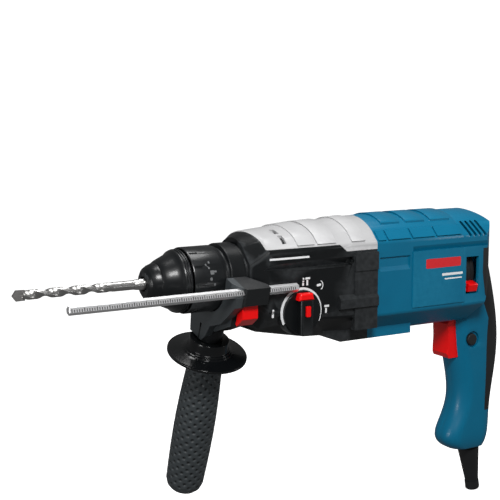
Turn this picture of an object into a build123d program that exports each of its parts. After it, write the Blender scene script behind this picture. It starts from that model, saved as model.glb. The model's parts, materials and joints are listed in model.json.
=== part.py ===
from build123d import *
import math
import os

# Rotary hammer. Millimetres. X runs backwards along the spindle axis from the
# nose of the tool holder, +Z is up, and -Y is the side with the mode knob.

# ---------------------------------------------------------------- driving sizes
SPINDLE_Z = 0.0
MOTOR_Z = -13.0
COUNTER_Z = -34.0

# Chuck
CAP_END = 8.0
SLEEVE_END = 30.5
RING_END = 61.5
SLEEVE_RADIUS = 26.0
NUT_RADIUS = 11.0
RING_RADIUS = 27.2
SHANK_RADIUS = 5.0
DRILL_RADIUS = 4.0
BIT_TIP = -110.0
SHANK_END = 48.0
HOLDER_RADIUS = 12.0
TUBE_RADIUS = 15.5
PISTON_RADIUS = 12.5
STRIKER_RADIUS = 9.0
BOLT_RADIUS = 8.0
FIT = 0.05

# Housings
COLLAR_RADIUS = 25.0
COLLAR_START = 62.0
HOOD_START = 80.0
COVER_START = 91.0
MOTOR_START = 202.0
HANDLE_START = 298.5
HALF_WIDTH = 38.0
WALL = 3.0
COVER_THICKNESS = 2.4
COVER_EDGE_Z = 24.5
PANEL_START = 241.0

# Gears, module 1
PINION_TEETH = 9
COUNTER_GEAR_TEETH = 33
COUNTER_PINION_TEETH = 18
SPINDLE_GEAR_TEETH = 50

# Hammer mechanism
WOBBLE_X = 150.0
DRUM_RADIUS = 12.0

# Controls
KNOB_X = 124.0
KNOB_Z = -28.5
KNOB_RADIUS = 18.2
LOCK_ON_X = 331.0
LOCK_ON_Z = -79.0
LEVER_TILT = 17.0

# Side handle: its axis leans away from the knob side, about the spindle
SIDE_X = 69.0
SIDE_LEAN = 19.0
BAND_RADIUS = 28.4
GUARD_RADIUS = 34.4
GRIP_END_DROP = 214.0
ROD_Y = -43.0
ROD_Z = -6.7
ROD_START = -83.0
ROD_LENGTH = 200.0
ROD_FLATS = 6.4


# ---------------------------------------------------------------- helpers
def bar_x(start, end, radius, z=0.0, y=0.0, mode=Mode.ADD):
    """A round bar along X in the part being built."""
    with BuildSketch(Plane.YZ.offset(start)) as disc:
        with Locations((y, z)):
            Circle(radius)
    extrude(disc.sketch, amount=end - start, mode=mode)


def bar_y(start, end, radius, x, z, mode=Mode.ADD):
    """A round bar along Y in the part being built."""
    with BuildSketch(Plane.XZ.offset(-start)) as disc:
        with Locations((x, z)):
            Circle(radius)
    extrude(disc.sketch, amount=start - end, mode=mode)


def block(low, high, mode=Mode.ADD):
    """A box from its low corner to its high corner."""
    size = [high[i] - low[i] for i in range(3)]
    middle = [(high[i] + low[i]) / 2 for i in range(3)]
    with Locations(tuple(middle)):
        Box(*size, mode=mode)


def turned(points, z=0.0, mode=Mode.ADD):
    """A body turned about a line along X: points are (x, radius)."""
    with BuildSketch(Plane.XZ) as profile:
        with BuildLine():
            Polyline(*[(x, z + radius) for x, radius in points], close=True)
        make_face()
    revolve(profile.sketch, axis=Axis((0, 0, z), (1, 0, 0)), mode=mode)


def gear_x(start, end, teeth, bore, z, phase, mode=Mode.ADD):
    """A module 1 spur gear along X with straight-flanked teeth."""
    pitch = teeth / 2
    root = pitch - 1.15
    tip = pitch + 0.8
    plane = Plane.YZ.offset(start)
    with BuildSketch(plane) as outline:
        with Locations((0, z)):
            Circle(root)
        for index in range(teeth):
            angle = math.radians(phase + index * 360 / teeth)
            across = (-math.sin(angle), math.cos(angle))
            along = (math.cos(angle), math.sin(angle))
            corners = []
            for radius, half in ((root - 0.4, 0.85), (tip, 0.36), (tip, -0.36), (root - 0.4, -0.85)):
                corners.append((radius * along[0] + half * across[0],
                                z + radius * along[1] + half * across[1]))
            with BuildLine():
                Polyline(*corners, close=True)
            make_face()
        if bore > 0:
            with Locations((0, z)):
                Circle(bore, mode=Mode.SUBTRACT)
    extrude(outline.sketch, amount=end - start, mode=mode)


# Each housing station: x, crown, shoulder half width, shoulder z, half width,
# side top z, side bottom z, keel half width, keel z
STATIONS = (
    (HOOD_START, 32.0, 17.0, 26.0, 29.5, 12.0, -18.0, 13.0, -40.0),
    (94.0, 37.0, 27.0, 31.5, 37.0, 23.0, -27.0, 17.0, -46.5),
    (140.0, 41.0, 29.0, 32.5, HALF_WIDTH, 24.0, -36.0, 20.0, -55.0),
    (MOTOR_START, 44.0, 29.0, 33.5, HALF_WIDTH, 24.0, -40.0, 20.0, -58.0),
)


def outline_at(x, station, inset=0.0):
    """The cross-section of the casing at x, drawn inwards by inset."""
    _, crown, shoulder, shoulder_z, half, top_z, low_z, keel, keel_z = station
    right = ((half - inset, top_z - inset * 0.35), (half - inset, low_z + inset * 0.35),
             (keel - inset * 0.45, keel_z + inset))
    left = [(-y, z) for y, z in reversed(right)]
    ridge = (shoulder - inset * 0.5, shoulder_z - inset * 0.8)
    with BuildSketch(Plane.YZ.offset(x)) as section:
        with BuildLine():
            ThreePointArc((-ridge[0], ridge[1]), (0, crown - inset), ridge)
            Polyline(ridge, *right, *left, (-ridge[0], ridge[1]))
        make_face()
        fillet(section.vertices().group_by(Axis.Y)[0], radius=9)
        fillet(section.vertices().filter_by(lambda v: abs(v.X) > half - inset - 0.01), radius=5)
    return section.sketch


def casing_loft(inset, stations=STATIONS):
    """The gear casing's shape, drawn inwards by inset."""
    return [outline_at(station[0], station, inset) for station in stations]


def motor_bar(start, end, inset, mode=Mode.ADD):
    """A straight length of the motor casing's section."""
    extrude(outline_at(start, STATIONS[-1], inset), amount=end - start, mode=mode)


# ---------------------------------------------------------------- chuck
def make_drill_bit():
    with BuildPart() as drill_bit:
        turned([(BIT_TIP + 8, 0), (BIT_TIP + 8, 3.4), (BIT_TIP + 10, DRILL_RADIUS - 0.4),
                (-18, DRILL_RADIUS - 0.4),
                (-16, 3.5), (0, 3.5), (1.5, SHANK_RADIUS), (SHANK_END - 1.5, SHANK_RADIUS),
                (SHANK_END, SHANK_RADIUS - 1.5), (SHANK_END, 0)])
        block((BIT_TIP - 1, -1.25, -5), (BIT_TIP + 11, 1.25, 5), mode=Mode.SUBTRACT)
        for side in (-1, 1):
            block((11, -3.4, side * 6.5 - 2.1), (36, 3.4, side * 6.5 + 2.1), mode=Mode.SUBTRACT)
    return drill_bit.part


def make_carbide_tip():
    with BuildPart() as carbide_tip:
        with BuildSketch(Plane.XZ) as blade:
            with BuildLine():
                Polyline((BIT_TIP, 0), (BIT_TIP + 3, DRILL_RADIUS + 0.2), (BIT_TIP + 10, DRILL_RADIUS),
                         (BIT_TIP + 10, -DRILL_RADIUS), (BIT_TIP + 3, -DRILL_RADIUS - 0.2), close=True)
            make_face()
        extrude(blade.sketch, amount=1.2, both=True)
    return carbide_tip.part


def make_dust_cap():
    with BuildPart() as dust_cap:
        turned([(-1.5, 6.2), (-1.5, 10.0), (0.5, 13.0), (3.5, 14.8), (CAP_END, 16.4), (CAP_END, 12.2),
                (1.5, 12.2), (1.5, 6.2)])
        fillet(dust_cap.edges().filter_by(GeomType.CIRCLE).sort_by(Axis.X)[1:3], radius=0.4)
    return dust_cap.part


def make_locking_sleeve():
    with BuildPart() as locking_sleeve:
        turned([(CAP_END + 0.3, 12.6), (CAP_END + 0.3, 16.6), (11, 18.4), (21.5, 23.0), (24, 25.2),
                (26, SLEEVE_RADIUS),
                (SLEEVE_END, SLEEVE_RADIUS), (SLEEVE_END, 24.0), (26, 23.0), (24, 21.5), (15, 18.5),
                (12, 16.5), (12, 12.6)])
        for x in (25.2, 27.4, 29.6):
            turned([(x, SLEEVE_RADIUS - 0.8), (x, SLEEVE_RADIUS + 1), (x + 0.9, SLEEVE_RADIUS + 1),
                    (x + 0.9, SLEEVE_RADIUS - 0.8)], mode=Mode.SUBTRACT)
    return locking_sleeve.part


def make_sleeve_spring():
    with BuildPart() as sleeve_spring:
        with BuildSketch(Plane.YZ.offset(24.0)) as ring:
            Circle(16.0)
            Circle(14.0, mode=Mode.SUBTRACT)
        extrude(ring.sketch, amount=14.0)
        for x in (26.4, 30.4, 34.4):
            turned([(x, 15.2), (x, 17), (x + 2, 17), (x + 2, 15.2)], mode=Mode.SUBTRACT)
    return sleeve_spring.part


def make_locking_ring():
    with BuildPart() as locking_ring:
        bar_x(16.0, 23.0, 15.2)
        bar_x(16.0, 23.0, HOLDER_RADIUS + 0.1, mode=Mode.SUBTRACT)
    return locking_ring.part


def make_locking_balls():
    with BuildPart() as locking_balls:
        with Locations((20, 0, 8.2), (20, 0, -8.2)):
            Sphere(3.0)
    return locking_balls.part


def make_chuck_lock_ring():
    with BuildPart() as chuck_lock_ring:
        turned([(31.2, 26.4), (31.2, 26.8), (32.2, RING_RADIUS), (58, RING_RADIUS), (59, 26.5), (60.4, 26.5),
                (RING_END, 26.1), (RING_END, 16.2), (42, 16.2), (42, 24.0), (40.6, 26.4)])
        for angle in range(0, 360, 30):
            plane = Plane(origin=(0, 0, 0), x_dir=(1, 0, 0),
                          z_dir=(0, math.sin(math.radians(angle)), math.cos(math.radians(angle))))
            with BuildSketch(plane.offset(RING_RADIUS - 0.5)) as slot:
                with Locations((36.5, 0)):
                    SlotOverall(7, 1.6)
            extrude(slot.sketch, amount=2, mode=Mode.SUBTRACT)
    return chuck_lock_ring.part


def make_hammer_tube():
    with BuildPart() as hammer_tube:
        turned([(2.0, SHANK_RADIUS + FIT), (2.0, HOLDER_RADIUS), (61, HOLDER_RADIUS), (63, TUBE_RADIUS),
                (140, TUBE_RADIUS), (140, PISTON_RADIUS + FIT), (66, PISTON_RADIUS + FIT),
                (66, BOLT_RADIUS + FIT), (SHANK_END + 0.3, BOLT_RADIUS + FIT),
                (SHANK_END + 0.3, SHANK_RADIUS + FIT)])
        for side in (-1, 1):
            with Locations((20, 0, side * 8.2)):
                Cylinder(3.05, 9, mode=Mode.SUBTRACT)
    return hammer_tube.part


def make_impact_bolt():
    with BuildPart() as impact_bolt:
        turned([(49, 0), (49, 4.6), (52, 4.6), (53, BOLT_RADIUS), (64, BOLT_RADIUS), (65, 6.5), (75, 6.5),
                (76, 5.5), (76, 0)])
    return impact_bolt.part


def make_striker():
    with BuildPart() as striker:
        turned([(84, 0), (84, 6.2), (86, 6.8), (94, 6.8), (96, STRIKER_RADIUS), (106, STRIKER_RADIUS),
                (106, 0)])
        turned([(99.5, 7.6), (99.5, 10), (102.5, 10), (102.5, 7.6)], mode=Mode.SUBTRACT)
    return striker.part


def make_piston():
    with BuildPart() as piston:
        bar_x(92, 158, PISTON_RADIUS)
        bar_x(92, 126, STRIKER_RADIUS + FIT, mode=Mode.SUBTRACT)
        block((136, -5.2, -14), (160, 5.2, 14), mode=Mode.SUBTRACT)
        bar_y(-14, 14, 6.05, WOBBLE_X, 0, mode=Mode.SUBTRACT)
        block((128, -14, -14), (160, -9.8, 14), mode=Mode.SUBTRACT)
        block((128, 9.8, -14), (160, 14, 14), mode=Mode.SUBTRACT)
    return piston.part


def make_piston_pin():
    with BuildPart() as piston_pin:
        bar_y(-9.6, 9.6, 6.0, WOBBLE_X, 0)
        with Locations((WOBBLE_X, 0, 0)):
            Cylinder(4.9, 14, mode=Mode.SUBTRACT)
    return piston_pin.part


def make_wobble_ring():
    with BuildPart() as wobble_ring:
        bar_x(WOBBLE_X - 4.0, WOBBLE_X + 4.0, 15.8, z=COUNTER_Z)
        with BuildSketch(Plane.XY.offset(COUNTER_Z + 14)) as finger:
            with Locations((WOBBLE_X, 0)):
                Circle(3.5)
        extrude(finger.sketch, amount=26)
        with Locations((WOBBLE_X, 0, COUNTER_Z)):
            Sphere(DRUM_RADIUS + 0.35, mode=Mode.SUBTRACT)
    return wobble_ring.part


def make_wobble_drum():
    with BuildPart() as wobble_drum:
        with Locations((WOBBLE_X, 0, COUNTER_Z)):
            Sphere(DRUM_RADIUS)
        block((WOBBLE_X - 20, -20, -60), (WOBBLE_X - 9, 20, -10), mode=Mode.SUBTRACT)
        block((WOBBLE_X + 9, -20, -60), (WOBBLE_X + 20, 20, -10), mode=Mode.SUBTRACT)
        bar_x(WOBBLE_X - 12, WOBBLE_X + 12, 5.0, z=COUNTER_Z, mode=Mode.SUBTRACT)
    return wobble_drum.part


def make_countershaft():
    with BuildPart() as countershaft:
        bar_x(104, 185, 5.0, z=COUNTER_Z)
        gear_x(114, 126, COUNTER_PINION_TEETH, 0, COUNTER_Z, phase=90)
    return countershaft.part


def make_countershaft_gear():
    with BuildPart() as countershaft_gear:
        gear_x(168, 177, COUNTER_GEAR_TEETH, 5.0, COUNTER_Z, phase=90 + 180 / COUNTER_GEAR_TEETH)
        turned([(167, 9), (167, 13.5), (169.5, 13.5), (169.5, 9)], z=COUNTER_Z, mode=Mode.SUBTRACT)
    return countershaft_gear.part


def make_spindle_gear():
    with BuildPart() as spindle_gear:
        gear_x(115, 124, SPINDLE_GEAR_TEETH, TUBE_RADIUS, SPINDLE_Z, phase=-90 + 180 / SPINDLE_GEAR_TEETH)
        turned([(114, 18), (114, 22), (117, 22), (117, 18)], mode=Mode.SUBTRACT)
    return spindle_gear.part


def make_clutch_spring():
    with BuildPart() as clutch_spring:
        bar_x(124.2, 134.0, 19.0)
        bar_x(124.2, 134.0, TUBE_RADIUS + 0.2, mode=Mode.SUBTRACT)
        for x in (126.0, 129.0, 132.0):
            turned([(x, 17.6), (x, 20), (x + 1.4, 20), (x + 1.4, 17.6)], mode=Mode.SUBTRACT)
    return clutch_spring.part


def make_bearings(places):
    """Sealed ball bearings: each place is start, end, bore radius, outer radius, axis z."""
    with BuildPart() as bearings:
        for start, end, bore, outer, z in places:
            bar_x(start, end, outer, z=z)
            bar_x(start, end, bore, z=z, mode=Mode.SUBTRACT)
            middle = (bore + outer) / 2
            reach = (outer - bore) * 0.18
            for x in (start - 0.5, end - 0.5):
                turned([(x, middle - reach), (x, middle + reach), (x + 1, middle + reach),
                        (x + 1, middle - reach)],
                       z=z, mode=Mode.SUBTRACT)
    return bearings.part


def make_shaft_seal():
    with BuildPart() as shaft_seal:
        bar_x(63.5, 66.5, 21.8)
        bar_x(63.5, 66.5, TUBE_RADIUS + FIT, mode=Mode.SUBTRACT)
    return shaft_seal.part


# ---------------------------------------------------------------- gear casing
def add_loft(inset, mode=Mode.ADD):
    loft(casing_loft(inset), ruled=True, mode=mode)


def make_gear_housing():
    with BuildPart() as cover_space:
        add_loft(0)
        with BuildSketch(Plane.XZ) as edge:
            with BuildLine():
                Polyline((COVER_START - 1.5, 60), (COVER_START + 1.5, COVER_EDGE_Z), (163, COVER_EDGE_Z),
                         (170, 18.5), (MOTOR_START, 18.5), (MOTOR_START, 60), close=True)
            make_face()
        extrude(edge.sketch, amount=60, both=True, mode=Mode.INTERSECT)
        add_loft(COVER_THICKNESS, mode=Mode.SUBTRACT)
    with BuildPart() as gear_housing:
        add_loft(0)
        bar_x(COLLAR_START, HOOD_START + 4, COLLAR_RADIUS)
        bar_x(78.3, HOOD_START + 1, COLLAR_RADIUS + 2.4)
        for side in (-1, 1):
            add_side_details(side)
        with BuildSketch(Plane.XZ) as keel:
            with BuildLine():
                Polyline((154, -50), (158, -56.2), (173, -62), (MOTOR_START, -62), (MOTOR_START, -50),
                         close=True)
            make_face()
        extrude(keel.sketch, amount=25, both=True)
        bar_y(-30, -38.2, 20.0, KNOB_X, KNOB_Z)
        cut_cavity()
        bar_x(94, 111, 10.5, z=COUNTER_Z)
        bar_x(104, 112, 8.0, z=COUNTER_Z, mode=Mode.SUBTRACT)
        bar_x(100, 104, 5.5, z=COUNTER_Z, mode=Mode.SUBTRACT)
        bar_y(-26, -39, 5.0 + FIT, KNOB_X, KNOB_Z, mode=Mode.SUBTRACT)
        add(cover_space.part, mode=Mode.SUBTRACT)
    return gear_housing.part, cover_space.part


def cut_cavity():
    """The inside of the gear casing, open to the motor, and the bore of the collar."""
    inner = [outline_at(84.0, STATIONS[0], 4.0)]
    for station in STATIONS[1:]:
        inner.append(outline_at(station[0], station, 4.4))
    loft(inner, ruled=True, mode=Mode.SUBTRACT)
    bar_x(COLLAR_START - 1, 90, 22.0, mode=Mode.SUBTRACT)
    with Locations((KNOB_X, -30.8, KNOB_Z)):
        Box(28, 6, 6, mode=Mode.SUBTRACT)


def add_side_details(side):
    """The stripe, groove, rear block and boss on one side of the gear casing."""
    outer = side * (HALF_WIDTH + 1.2)
    inner = side * (HALF_WIDTH - 4)
    low_y = min(outer, inner)
    high_y = max(outer, inner)
    block((178, low_y - (side < 0) * 1.2, 1), (MOTOR_START, high_y + (side > 0) * 1.2, 16.5))
    with BuildSketch(Plane.YZ.offset(162)) as boss:
        with BuildLine():
            Polyline((inner, -17.5), (side * HALF_WIDTH, -18.5), (side * (HALF_WIDTH + 3.2), -22.5),
                     (side * (HALF_WIDTH + 3.2), -30), (side * HALF_WIDTH, -31.5), (inner, -31.5), close=True)
        make_face()
    extrude(boss.sketch, amount=MOTOR_START - 162)
    block((178, low_y, -50), (MOTOR_START, high_y, 1))
    cut_wedge(side, 78, 177, 8.2, 14.0, 3.2)
    bar_y(side * (HALF_WIDTH - 3.2), side * (HALF_WIDTH + 3), 3.6, 174, 10.2, mode=Mode.SUBTRACT)
    with BuildSketch(Plane.XY.offset(6.0)) as bead:
        with BuildLine():
            Polyline((92, side * 34), (93, side * 36.4), (140, side * (HALF_WIDTH + 0.8)),
                     (166, side * (HALF_WIDTH + 0.8)), (172, side * (HALF_WIDTH - 1)), close=True)
        make_face()
    extrude(bead.sketch, amount=2.2)


def make_top_cover(cover_space):
    with BuildPart() as top_cover:
        add(cover_space)
        for start, end in ((122, 138), (141, 160), (176, 190)):
            add_pad(start, end, 1.2)
        for low_y, high_y in ((-20, -10), (-32, -23)):
            block((109.5, low_y, 22), (113.5, high_y, 50), mode=Mode.SUBTRACT)
    return top_cover.part


def add_pad(start, end, proud, crown_only=False):
    """A raised pad over the crown, or the crown and shoulders, of the casing."""
    with BuildPart(mode=Mode.PRIVATE) as pad:
        loft([outline_at(station[0], station, -proud) for station in STATIONS[1:]], ruled=True)
        block((start, -50, 30.0 if crown_only else 26.5), (end, 50, 60), mode=Mode.INTERSECT)
        loft([outline_at(station[0], station, 0.5) for station in STATIONS[1:]], ruled=True,
             mode=Mode.SUBTRACT)
    add(pad.part)


# ---------------------------------------------------------------- motor casing
SHOULDER_PADS = ((203.5, 211.5), (214, 238.5), (241, 265.5), (268, 296))
CROWN_PADS = ((216, 236), (243, 264), (271, 293))


def make_motor_housing():
    with BuildPart() as motor_housing:
        motor_bar(MOTOR_START, HANDLE_START, 0)
        for start, end in SHOULDER_PADS:
            add_motor_pad(start, end, shoulder=True)
        for start, end in CROWN_PADS:
            add_motor_pad(start, end, shoulder=False)
        block((MOTOR_START, -25, -62), (250, 25, -50))
        for side in (-1, 1):
            add_panel(side, PANEL_START, HANDLE_START)
            cut_front_step(side)
        motor_bar(MOTOR_START - 1, HANDLE_START + 1, WALL, mode=Mode.SUBTRACT)
    return motor_housing.part


def add_motor_pad(start, end, shoulder):
    """One raised pad on the motor casing, on both shoulders or on the crown."""
    with BuildPart(mode=Mode.PRIVATE) as pad:
        extrude(outline_at(start, STATIONS[-1], -1.4), amount=end - start)
        if shoulder:
            block((start, -50, 25.5), (end, 50, 33.0), mode=Mode.INTERSECT)
            block((start, -27.5, 20), (end, 27.5, 40), mode=Mode.SUBTRACT)
        else:
            block((start, -24, 36), (end, 24, 60), mode=Mode.INTERSECT)
        extrude(outline_at(start, STATIONS[-1], 0.5), amount=end - start, mode=Mode.SUBTRACT)
    add(pad.part)


def add_panel(side, start, end):
    """The raised plain panel on one side, with the groove above it."""
    face = side * (HALF_WIDTH + 1.0)
    back = side * (HALF_WIDTH - 2)
    block((start, min(face, back), -36.5), (end, max(face, back), 13.2))
    cut_wedge(side, start, end, 13.2, 17.8, 2.2)


def cut_wedge(side, start, end, low_z, high_z, depth):
    """A groove along one side that is deepest at its lower edge."""
    with BuildSketch(Plane.YZ.offset(start)) as wedge:
        with BuildLine():
            Polyline((side * (HALF_WIDTH + 3), low_z), (side * (HALF_WIDTH - depth), low_z),
                     (side * HALF_WIDTH, high_z), (side * (HALF_WIDTH + 3), high_z), close=True)
        make_face()
    extrude(wedge.sketch, amount=end - start, mode=Mode.SUBTRACT)


def cut_front_step(side):
    """The long shallow hollow ahead of the panel."""
    with BuildSketch(Plane.YZ.offset(MOTOR_START + 3)) as hollow:
        with BuildLine():
            Polyline((side * (HALF_WIDTH + 1), 11), (side * (HALF_WIDTH - 1.6), 9.5),
                     (side * (HALF_WIDTH - 1.2), 2),
                     (side * (HALF_WIDTH + 1), -5), close=True)
        make_face()
    extrude(hollow.sketch, amount=PANEL_START - MOTOR_START - 6, mode=Mode.SUBTRACT)


# ---------------------------------------------------------------- handle
# Handle stations: z, middle x, length, width, corner radius
GRIP_STATIONS = (
    (10.0, 324.0, 37.0, 54.0, 15.0),
    (-15.0, 332.0, 41.0, 48.0, 16.0),
    (-45.0, 337.7, 51.4, 40.0, 16.0),
    (-72.0, 340.8, 54.4, 34.5, 12.5),
    (-110.0, 343.2, 49.6, 34.0, 15.0),
    (-146.0, 341.0, 44.0, 33.0, 14.5),
    (-170.0, 335.2, 52.4, 33.0, 14.0),
    (-186.0, 337.5, 38.0, 27.0, 11.0),
)
HOOD_REAR = 344.0
SCREW_PLACES = ((341.0, -110.0), (324.0, -168.0), (330.0, 27.0), (337.0, -46.0))
GUARD_PLANE = Plane(origin=(342.5, 0, -178), x_dir=(0, 1, 0), z_dir=(0.165, 0, -0.986))


def grip_column(inset, mode=Mode.ADD):
    """The handle's column, drawn inwards by inset."""
    sections = []
    for z, middle, length, width, radius in GRIP_STATIONS:
        if z < -180:
            z = z + inset
        with BuildSketch(Plane.XY.offset(z)) as section:
            with Locations((middle, 0)):
                RectangleRounded(length - 2 * inset, width - 2 * inset, radius - inset * 0.6)
        sections.append(section.sketch)
    loft(sections, ruled=False, mode=mode)


def handle_form(inset):
    """The whole handle with its rear hood as one closed form."""
    with BuildPart() as hood:
        motor_bar(HANDLE_START, HOOD_REAR, inset)
        with BuildSketch(Plane.XY.offset(-70)) as plan:
            with Locations((HANDLE_START, 0)):
                Rectangle(2 * (HOOD_REAR - HANDLE_START - inset), 2 * (HALF_WIDTH + 4))
            fillet(plan.vertices().group_by(Axis.X)[-1], radius=33)
        extrude(plan.sketch, amount=130, mode=Mode.INTERSECT)
        with BuildSketch(Plane.XZ) as side_view:
            with BuildLine():
                rear = HOOD_REAR - inset
                ThreePointArc((306, 48 - inset), (rear - 10, 38 - inset * 0.6), (rear, 19))
                Polyline((rear, 19), (rear - 1, 14.5 + inset), (rear - 5, 11.5 + inset),
                         (rear - 8, 11 + inset),
                         (rear - 9, -12), (330 - inset * 1.4, -30), (312 - inset * 1.4, -70),
                         (HANDLE_START, -70),
                         (HANDLE_START, 48 - inset), (306, 48 - inset))
            make_face()
        extrude(side_view.sketch, amount=60, both=True, mode=Mode.INTERSECT)
    with BuildPart() as form:
        add(hood.part)
        grip_column(inset)
    return form.part


def rear_zone():
    """The space behind the line where the soft rear grip starts."""
    with BuildPart() as zone:
        with BuildSketch(Plane.XZ) as side_view:
            with BuildLine():
                Polyline((322.5, 10.8), (400, 10.8), (400, -150), (349, -150), (349.5, -60), (340, -42),
                         (326, -33), (322.5, -12), close=True)
            make_face()
        extrude(side_view.sketch, amount=60, both=True)
    return zone.part


def make_handle_parts():
    outer = handle_form(0)
    under = handle_form(2.2)
    inner = handle_form(3.4)
    zone = rear_zone()
    with BuildPart() as handle_rubber:
        add(outer)
        add(zone, mode=Mode.INTERSECT)
        add(under, mode=Mode.SUBTRACT)
    with BuildPart() as handle_shell:
        add(outer)
        for side in (-1, 1):
            add_panel(side, HANDLE_START, HANDLE_START + 2)
            cut_wedge(side, HANDLE_START, HOOD_REAR - 7, 13.2, 17.8, 2.2)
        add(zone, mode=Mode.SUBTRACT)
        with BuildPart(mode=Mode.PRIVATE) as backing:
            add(under)
            add(zone, mode=Mode.INTERSECT)
        add(backing.part)
        add(inner, mode=Mode.SUBTRACT)
        motor_bar(HANDLE_START - 1, HANDLE_START + 4, 3.4, mode=Mode.SUBTRACT)
        add_rear_bearing_rib(under)
        for x, z in SCREW_PLACES:
            add_post(x, z, under)
        block((300, -11.4, -96.2), (327, 11.4, -58.3), mode=Mode.SUBTRACT)
        with BuildSketch(GUARD_PLANE.offset(-2)) as throat:
            Circle(9.4)
        extrude(throat.sketch, amount=20, mode=Mode.SUBTRACT)
        for index in range(4):
            with BuildSketch(Plane.XZ.offset(20)) as vent:
                with Locations(Location((305.5 + 5.8 * index, 28.5), 18)):
                    SlotOverall(14.5, 3.0, rotation=90)
            extrude(vent.sketch, amount=25, mode=Mode.SUBTRACT)
            extrude(vent.sketch, amount=-65, mode=Mode.SUBTRACT)
    with BuildPart() as handle_shell_left:
        add(handle_shell.part)
        split(bisect_by=Plane.XZ, keep=Keep.TOP)
        block((302.5, -45, -30), (317.5, -30, 4), mode=Mode.SUBTRACT)
        bar_y(-30, -15.2, 8.0, LOCK_ON_X, LOCK_ON_Z, mode=Mode.SUBTRACT)
        bar_y(-30, -8, 5.9, LOCK_ON_X, LOCK_ON_Z, mode=Mode.SUBTRACT)
    with BuildPart() as handle_shell_right:
        add(handle_shell.part)
        split(bisect_by=Plane.XZ, keep=Keep.BOTTOM)
    return handle_rubber.part, handle_shell_left.part, handle_shell_right.part


def add_rear_bearing_rib(form):
    """The rib across the hood that holds the armature's rear bearing."""
    with BuildPart(mode=Mode.PRIVATE) as rib:
        block((307, -5, -60), (313.5, 5, 46))
        bar_x(307, 313.5, 13.0, z=MOTOR_Z)
        add(form, mode=Mode.INTERSECT)
        bar_x(306, 314, 9.5, z=MOTOR_Z, mode=Mode.SUBTRACT)
    add(rib.part)


def add_post(x, z, form):
    """A screw post from wall to wall, kept inside the handle's form."""
    with BuildPart(mode=Mode.PRIVATE) as post:
        bar_y(-37, 37, 4.2, x, z)
        add(form, mode=Mode.INTERSECT)
        bar_y(-12.1, 10.1, 1.75, x, z, mode=Mode.SUBTRACT)
    add(post.part)


def make_cord_guard():
    with BuildPart() as cord_guard:
        with BuildSketch(GUARD_PLANE) as root:
            Circle(9.3)
        extrude(root.sketch, amount=11.5)
        with BuildSketch(GUARD_PLANE.offset(11)) as collar:
            Circle(10.4)
        extrude(collar.sketch, amount=36, taper=6.6)
        with BuildSketch(GUARD_PLANE.offset(46)) as bead:
            Circle(6.8)
        extrude(bead.sketch, amount=9)
        fillet(cord_guard.edges().filter_by(GeomType.CIRCLE).sort_by(Axis.Z)[:1], radius=2)
        with BuildSketch(GUARD_PLANE.offset(-1)) as bore:
            Circle(4.2)
        extrude(bore.sketch, amount=60, mode=Mode.SUBTRACT)
    return cord_guard.part


# ---------------------------------------------------------------- controls
def make_trigger():
    with BuildPart() as trigger:
        with BuildSketch(Plane.XZ) as side_view:
            with BuildLine():
                ThreePointArc((305.6, -63), (307.0, -77), (305.6, -91))
                Polyline((305.6, -91), (308, -95.6), (319.5, -95.6), (319.5, -59.2), (308, -59.2),
                         (305.6, -63))
            make_face()
        extrude(side_view.sketch, amount=11, both=True)
        with BuildSketch(Plane.XY.offset(-110)) as plan:
            with BuildLine():
                Polyline((304, -8.2), (306.6, -11), (319.5, -11), (319.5, 11), (306.6, 11), (304, 8.2),
                         close=True)
            make_face()
        extrude(plan.sketch, amount=60, mode=Mode.INTERSECT)
        bar_x(319.5, 335, 3.0, z=-76)
    return trigger.part


def make_switch_module():
    with BuildPart() as switch_module:
        block((327.5, -8.5, -100), (356, 8.5, -62))
        bar_x(327, 344, 3.0 + FIT, z=-76, mode=Mode.SUBTRACT)
        fillet(switch_module.edges().filter_by(Axis.Y), radius=1.5)
    return switch_module.part


def make_lock_on_button():
    with BuildPart() as lock_on_button:
        bar_y(-12.4, -17.6, 5.6, LOCK_ON_X, LOCK_ON_Z)
        fillet(lock_on_button.edges().filter_by(GeomType.CIRCLE).sort_by(Axis.Y)[:1], radius=1.2)
    return lock_on_button.part


def lever_plane():
    """The plane across the motor axis, turned to the reversing lever's rest angle."""
    tilt = math.radians(LEVER_TILT)
    return Plane(origin=(304.6, 0, MOTOR_Z), x_dir=(0, -math.cos(tilt), -math.sin(tilt)), z_dir=(1, 0, 0))


def make_reversing_lever():
    with BuildPart() as reversing_lever:
        with BuildSketch(lever_plane()) as arm:
            with Locations((34.9, 0)):
                Rectangle(12.2, 7.4)
        extrude(arm.sketch, amount=10.5)
        fillet(reversing_lever.edges().filter_by(Axis.X), radius=1.0)
    return reversing_lever.part


def make_lever_shutter():
    with BuildPart() as lever_shutter:
        with BuildSketch(Plane.YZ.offset(304.6)) as band:
            with BuildLine():
                far = CenterArc((0, MOTOR_Z), 33.2, 140, 74)
                near = CenterArc((0, MOTOR_Z), 31.4, 140, 74)
                Line(far @ 0, near @ 0)
                Line(far @ 1, near @ 1)
            make_face()
        extrude(band.sketch, amount=11.5)
        with BuildSketch(lever_plane()) as notch:
            with Locations((34.9, 0)):
                Rectangle(12.4, 7.5)
        extrude(notch.sketch, amount=10.6, mode=Mode.SUBTRACT)
        for x in (307.4, 311.4):
            turned([(x, 32.6), (x, 34), (x + 1.6, 34), (x + 1.6, 32.6)], z=MOTOR_Z, mode=Mode.SUBTRACT)
    return lever_shutter.part


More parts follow.
